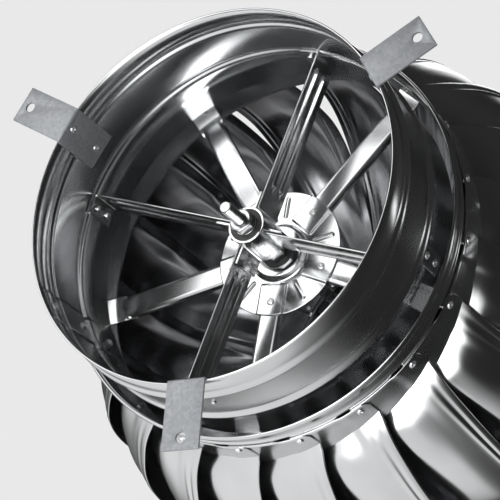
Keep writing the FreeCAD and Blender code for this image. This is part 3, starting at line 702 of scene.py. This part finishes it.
def arm_surface(row, column):
    """Channel seen from its hollow side: web, flanges up, and the end flattened, widened and bent down."""
    reach = ARM_START + (ARM_BEND - ARM_START) * min(1.0, column / ARM_STRAIGHT)
    across = (row / ARM_ROWS - 0.5) * ARM_SPREAD
    side = 1 if across > 0 else -1
    out = abs(across) - ARM_WEB_HALF
    if out < 0:
        y, up = across, 0.0
    elif out < ARM_FOLD:
        y, up = side * (ARM_WEB_HALF + math.sin(out)), 1 - math.cos(out)
    else:
        share = (out - ARM_FOLD) / (ARM_SPREAD / 2 - ARM_WEB_HALF - ARM_FOLD)
        y, up = side * (ARM_WEB_HALF + 1), 1 + ARM_FLANGE * share
    flat = ease((reach - ARM_FLAT_FROM) / (ARM_BEND - ARM_FLAT_FROM))
    y += (across * ARM_TAB_HALF / (ARM_SPREAD / 2) - y) * flat
    up *= 1 - flat
    step = column - ARM_STRAIGHT
    if step <= 0:
        return Vector((reach, y, ARM_TOP + up))
    if step <= ARM_RAMP:
        share = step / ARM_RAMP
        return Vector((ARM_BEND + (ARM_KNEE_R - ARM_BEND) * share, y, ARM_TOP - ARM_KNEE_DROP * share))
    low = ARM_TOP - ARM_KNEE_DROP - ARM_TAB_BEND_R
    if step <= ARM_RAMP + ARM_KNEE:
        a = math.pi / 2 * (step - ARM_RAMP) / ARM_KNEE
        return Vector((ARM_KNEE_R + ARM_TAB_BEND_R * math.sin(a), y, low + ARM_TAB_BEND_R * math.cos(a)))
    share = (step - ARM_RAMP - ARM_KNEE) / ARM_TAB
    return Vector((ARM_KNEE_R + ARM_TAB_BEND_R, y, low - ARM_TAB_DROP * share))


def arms():
    """Five channel arms from the disc to the ring."""
    bm = bent_grid(ARM_ROWS, ARM_STRAIGHT + ARM_RAMP + ARM_KNEE + ARM_TAB, arm_surface)
    mesh = to_mesh(face_level(bm, 1), "arm")
    for i, copy in copies(mesh, ARM_COUNT, ARMS_AT):
        piece(copy, "arm_channel_%d" % i, ["head_arm_%d" % i], wall=STRIP_T, smooth=50)


def vane_station(row):
    """Radius, height, outward normal, share of pressed shape, lap, corner cut and crease rise of a row."""
    low_phi = math.asin((CREASE_Z - BELLY_Z) / LOW_HALF)
    low_wide = (BELLY_R - TAB_R) / (1 - math.cos(low_phi))
    top_phi = math.radians(TOP_DEG)
    high_wide = (BELLY_R - TOP_R) / (1 - math.cos(top_phi))
    if row <= FOOT_ROWS:
        t = row / FOOT_ROWS
        z = VANE_Z0 + (CREASE_Z - VANE_Z0) * t
        corner = VANE_CORNER * max(0.0, 1 - (z - VANE_Z0) / VANE_CORNER)
        return TAB_R, z, (1.0, 0.0), 0.0, LAP_LOW, corner, CREASE_RISE * t * t
    share = (row - FOOT_ROWS) / CURVE_ROWS
    if share > 1:
        r, z, normal = vane_station(FOOT_ROWS + CURVE_ROWS)[:3]
        reach = TOP_TAB * (row - FOOT_ROWS - CURVE_ROWS) / TOP_ROWS
        return r - reach * normal[1], z + reach * normal[0], normal, 0.0, LAP_HIGH, 0.0, 0.0
    if share < 0.5:
        phi, a, b, end = low_phi * (1 - 2 * share), low_wide, LOW_HALF, LAP_LOW
    else:
        phi, a, b, end = top_phi * (2 * share - 1), high_wide, HIGH_HALF, LAP_HIGH
    length = math.hypot(b * math.cos(phi), a * math.sin(phi))
    normal = (b * math.cos(phi) / length, a * math.sin(phi) / length)
    bulge = curve(PRESSED, share)
    rise = CREASE_RISE * curve(CREASE, share)
    return (BELLY_R - a * (1 - math.cos(phi)), BELLY_Z + b * math.sin(phi), normal, bulge,
            end + (LAP_MID - end) * bulge, 0.0, rise)


def vane_surface(row, column):
    """Outer face of a pressed vane: foot, slanting crease, stiffening bead, scoop, far lip and top tab."""
    r, z, normal, bulge, lap, corner, rise = vane_station(row)
    width = math.radians(VANE_PITCH) * r + lap
    depth = LAP_STEP + VANE_DEPTH * bulge
    fold = VANE_FLANGE / width
    marks = (0.0, 0.5 * fold, 0.75 * fold, fold, fold + 0.035, 0.34, 0.52, 0.74, 1 - fold, 1.0)
    levels = (0.0, 0.0, -1.5, -1.0, -2.2, -3.0, -0.25 * depth, -0.55 * depth, 0.8 - depth, -depth)
    steps = (0, 3, 7, 10, 14, 21, 28, 36, 43, VANE_COLUMNS)
    t = column / VANE_COLUMNS
    k = max(i for i in range(len(steps) - 1) if steps[i] <= column)
    pressed_u = marks[k] + (marks[k + 1] - marks[k]) * (column - steps[k]) / (steps[k + 1] - steps[k])
    pressed_v = curve(list(zip(marks, levels)), pressed_u)
    u = (corner * (1 - t) + t * width) * (1 - bulge) + pressed_u * width * bulge
    v = -LAP_STEP * ease((t * 7 - 2.1) / 0.8) * (1 - bulge) + pressed_v * bulge
    angle = math.radians(VANE_SWEEP * bulge) - VANE_RIVET_IN / TAB_R + u / r
    return around(angle, r + v * normal[0], z + v * normal[1] + rise * (u / width - 0.5))


def vanes():
    """Twenty vanes pressed from polished sheet."""
    bm = face_away(bent_grid(FOOT_ROWS + CURVE_ROWS + TOP_ROWS, VANE_COLUMNS, vane_surface))
    mesh = to_mesh(bm, "vane")
    for i, copy in copies(mesh, VANE_COUNT, VANES_AT):
        # the vanes' inner faces take the mill grey that is partly painted shade
        piece(copy, "vane_sheet_%02d" % i, ["vane_%02d" % i], wall=SHEET, smooth=50, lining=MILL_AND_PAINTED_SHADE)


def crown_z(radius):
    """Top of the sloping crown plate at a radius."""
    r0, z0, normal = vane_station(FOOT_ROWS + CURVE_ROWS)[:3]
    return z0 + SHEET + SEAT_GAP + (r0 - radius) * normal[0] / normal[1]


def crown():
    """Crown plate, the cup that seats the upper bearing, and the small cap over the spindle."""
    flat = crown_z(CROWN_FLAT_R)
    plate = lathe([(CROWN_HOLE_R, flat), (CROWN_FLAT_R, flat), (CROWN_R, crown_z(CROWN_R))], 2.0)
    # the crown plate's under face takes the mill grey that is partly painted shade
    piece(to_mesh(face_level(plate, 1), "crown"), "crown_plate", ["crown"], wall=SHEET, lining=MILL_AND_PAINTED_SHADE)
    base = flat + SEAT_GAP
    bore = BEARING_R + FIT_GAP
    cup = [(bore, base - BEARING_WIDTH), (bore + CUP_SHEET, base - BEARING_WIDTH), (bore + CUP_SHEET, base),
           (CUP_FLANGE_R, base), (CUP_FLANGE_R, base + CUP_SHEET), (bore, base + CUP_SHEET)]
    rings("bearing_seat", "bearing_cup", [cup], 0.5, 128)
    z = base + CUP_SHEET + SEAT_GAP
    dome = [(CAP_BRIM_R, z + SHEET), (CAP_R, z + SHEET), (0.9 * CAP_R, z + 9.9), (0.6 * CAP_R, z + 14.9),
            (0.0, z + CAP_HEIGHT)]
    cap = lathe(dome, 2.2, 160, segments=8)
    piece(to_mesh(face_level(cap, 1), "cap"), "spindle_cap", ["crown_cap"], wall=SHEET)


throat()
struts()
hub()
spindle()
nuts()
brackets()
BEARINGS_Z = (LOW_BEARING_Z, HIGH_BEARING_Z)
bore = SPINDLE_R + FIT_GAP
rings("bushes", "hub_bushes",
      [ring_profile(bore, HUB_BORE - FIT_GAP, z, BUSH_LENGTH) for z in (HUB_Z0, HUB_Z1 - BUSH_LENGTH)], 0.6)
rings("washers", "spindle_washers",
      [ring_profile(bore, WASHER_R, z, WASHER_T) for z in (HUB_Z0 - WASHER_T, HUB_Z1)])
rings("inner_races", "bearing_inner_rings",
      [ring_profile(bore, INNER_RING_R, z, BEARING_WIDTH) for z in BEARINGS_Z], 0.35)
rings("outer_races", "bearing_outer_rings",
      [ring_profile(OUTER_RING_R, BEARING_R, z, BEARING_WIDTH) for z in BEARINGS_Z], 0.35)
rings("shields", "bearing_seals",
      [ring_profile(INNER_RING_R + 0.06, OUTER_RING_R, z + up, SEAL_T) for z in BEARINGS_Z
       for up in (0.0, BEARING_WIDTH - SEAL_T)], 0.2)
rings("lip_seal", "dust_seal",
      [ring_profile(DUST_SEAL_R, BEARING_R, LOW_BEARING_Z - DUST_SEAL_T, DUST_SEAL_T)], 0.4)
head_ring()
disc()
arms()
vanes()
crown()

INWARD, OUTWARD, DOWN = (-1, 0, 0), (1, 0, 0), (0, 0, -1)
tabs_at = [STRUTS_AT + 90 * i - STRUT_RIVETS_BACK for i in range(STRUT_COUNT)]
feet_at = [VANES_AT + VANE_PITCH * i for i in range(VANE_COUNT)]
arms_at = feet_at[1::VANE_COUNT // ARM_COUNT]
rivets("bracket_fixings", "bracket_rivets", 3.6,
       [(a, aim(INWARD, (BRACKET_FACE_R, 0, z))) for a in BRACKETS_AT for z in BRACKET_RIVET_HEIGHTS])
rivets("seam_fixings", "seam_rivets", 1.7,
       [(SEAM_RIVETS_AT, aim(INWARD, (SEAM_FACE_R, 0, z))) for z in SEAM_RIVET_HEIGHTS])
rivets("strut_fixings", "strut_rivets", 2.05,
       [(a, aim(OUTWARD, (COLLAR_R, 0, z))) for a in tabs_at for z in STRUT_RIVET_HEIGHTS], 2.7)
rivets("disc_fixings", "disc_rivets", 2.45,
       [(ARMS_AT + ARM_PITCH * i, aim(DOWN, (DISC_RIVETS_R, 0, DISC_RIVETS_Z))) for i in range(ARM_COUNT)])
foot_seat = aim(OUTWARD, (TAB_R, 0, VANE_RIVET_Z))
rivets("vane_fixings", "vane_rivets", 2.6, [(a, foot_seat) for a in feet_at if a not in arms_at])
rivets("arm_fixings", "arm_rivets", 4.2, [(a, foot_seat) for a in arms_at])
lean = vane_station(FOOT_ROWS + CURVE_ROWS)[2]
crown_seat = aim((lean[0], 0, lean[1]), (CROWN_RIVETS_R + 0.12, 0, crown_z(CROWN_RIVETS_R)))
rivets("crown_fixings", "crown_rivets", 2.6, [(a + CROWN_RIVETS_ON, crown_seat) for a in feet_at])


# Studio

def camera():
    """Camera at the photograph's angle, below and beside the collar; returns its right, up and back."""
    view = Matrix(((0.884472, -0.075634, 0.460423),
                   (0.119661, -0.917004, -0.380505),
                   (0.450989, 0.391641, -0.802014)))
    matrix = view.transposed().to_4x4()
    matrix.translation = (0.689814, 0.615941, -1.150400)
    data = bpy.data.cameras.new("camera")
    data.sensor_width = 36.0
    data.lens = 145.69
    data.clip_start, data.clip_end = 0.05, 60.0
    eye = bpy.data.objects.new("camera", data)
    eye.matrix_world = matrix
    bpy.context.scene.collection.objects.link(eye)
    bpy.context.scene.camera = eye
    return [Vector(row) for row in view]


def sheet(name, material, width, depth, matrix):
    """Flat stage sheet in metres."""
    bm = bmesh.new()
    bmesh.ops.create_grid(bm, x_segments=1, y_segments=1, size=1.0)
    bmesh.ops.scale(bm, vec=(width / 2, depth / 2, 1), verts=bm.verts)
    mesh = bpy.data.meshes.new(name)
    bm.to_mesh(mesh)
    bm.free()
    mesh.materials.append(material)
    made = bpy.data.objects.new(name, mesh)
    made.matrix_world = matrix
    bpy.context.scene.collection.objects.link(made)
    return made


def floor():
    """Plain pale floor, far enough under the part to leave the views from below free."""
    material, tree, shader, place = blank("pale_paper_floor")
    shader.inputs["Base Color"].default_value = linear("#fafafa")
    shader.inputs["Roughness"].default_value = 0.9
    sheet("studio_floor", material, 120.0, 120.0, Matrix.Translation((0, 0, -4.0))).visible_glossy = False


def card(name, way, distance, size, strength):
    """Soft light card: an oval glow that fades to its rim and shades nothing, placed by the camera's axes."""
    material, tree, shader, place = blank(name + "_glow")
    tree.nodes.remove(shader)
    oval = add(tree, "ShaderNodeMapping", {"Scale": (2 / size[0], 2 / size[1], 1)}, Vector=place)
    fade = add(tree, "ShaderNodeTexGradient", {"gradient_type": "SPHERICAL"}, Vector=oval.outputs[0])
    soft = {"interpolation_type": "SMOOTHSTEP", "From Max": 0.9, "To Max": strength}
    level = add(tree, "ShaderNodeMapRange", soft, Value=fade.outputs["Fac"])
    glow = add(tree, "ShaderNodeEmission", Strength=level.outputs[0])
    clear = add(tree, "ShaderNodeBsdfTransparent")
    both = add(tree, "ShaderNodeAddShader", i0=glow.outputs[0], i1=clear.outputs[0])
    output = next(n for n in tree.nodes if n.type == "OUTPUT_MATERIAL")
    tree.links.new(both.outputs[0], output.inputs[0])
    direction = (right * way[0] + up * way[1] + back * way[2]).normalized()
    facing = direction.to_track_quat("Z", "Y").to_matrix().to_4x4()
    matrix = Matrix.Translation(focus + direction * distance) @ facing
    sheet(name, material, size[0], size[1], matrix).visible_camera = False


def backdrop():
    """Pale even backdrop for the camera and for matt surfaces; polished metal reflects a dark room.

    The room is white on the camera's lower left, near black from its middle to its upper right, and dim
    straight ahead.
    """
    world = bpy.data.worlds.new("studio")
    bpy.context.scene.world = world
    world.use_nodes = True
    tree = world.node_tree
    tree.nodes.clear()
    pale = add(tree, "ShaderNodeBackground", {"Color": linear("#e9e9e9"), "Strength": 1.0})
    way = add(tree, "ShaderNodeTexCoord").outputs["Generated"]
    toward = add(tree, "ShaderNodeVectorMath", {"operation": "DOT_PRODUCT"}, i0=way)
    toward.inputs[1].default_value = (-right - up).normalized()
    full = {"From Min": -1.0, "From Max": 1.0}
    share = add(tree, "ShaderNodeMapRange", full, Value=toward.outputs["Value"])
    grey = [(0.0, 0.03), (0.3, 0.02), (0.47, 0.02), (0.54, 0.07), (0.64, 0.34), (0.74, 0.92), (1.0, 1.15)]
    colour = ramp(tree, share.outputs[0], [(at, (level, level, level, 1.0)) for at, level in grey])
    ahead = add(tree, "ShaderNodeVectorMath", {"operation": "DOT_PRODUCT"}, i0=way)
    ahead.inputs[1].default_value = -back
    fall = {"interpolation_type": "SMOOTHSTEP", "From Min": 0.4, "From Max": 0.9, "To Min": 1.0,
            "To Max": 0.2}
    dim = add(tree, "ShaderNodeMapRange", fall, Value=ahead.outputs["Value"])
    room = add(tree, "ShaderNodeBackground", Color=colour, Strength=dim.outputs[0])
    path = add(tree, "ShaderNodeLightPath")
    glossy = path.outputs["Is Glossy Ray"]
    mix = add(tree, "ShaderNodeMixShader", i0=glossy, i1=pale.outputs[0], i2=room.outputs[0])
    output = add(tree, "ShaderNodeOutputWorld")
    tree.links.new(mix.outputs[0], output.inputs[0])


right, up, back = camera()
focus = Vector((0, 0, 0.12))
floor()
backdrop()
# each card's way is given along the camera's right, up and back, its distance and size in metres
card("front_card", (-0.36, -0.22, 0.9), 2.1, (3.0, 2.5), 7.5)
card("mouth_card", (-0.75, 0.6, 0.28), 1.8, (2.6, 2.2), 2.8)
card("strip_card", (1.0, 0.1, 0.1), 1.6, (0.3, 1.8), 2.2)
card("top_card", (0.25, 0.45, -0.85), 1.9, (1.0, 1.2), 2.6)

bpy.context.scene.view_settings.view_transform = "Standard"
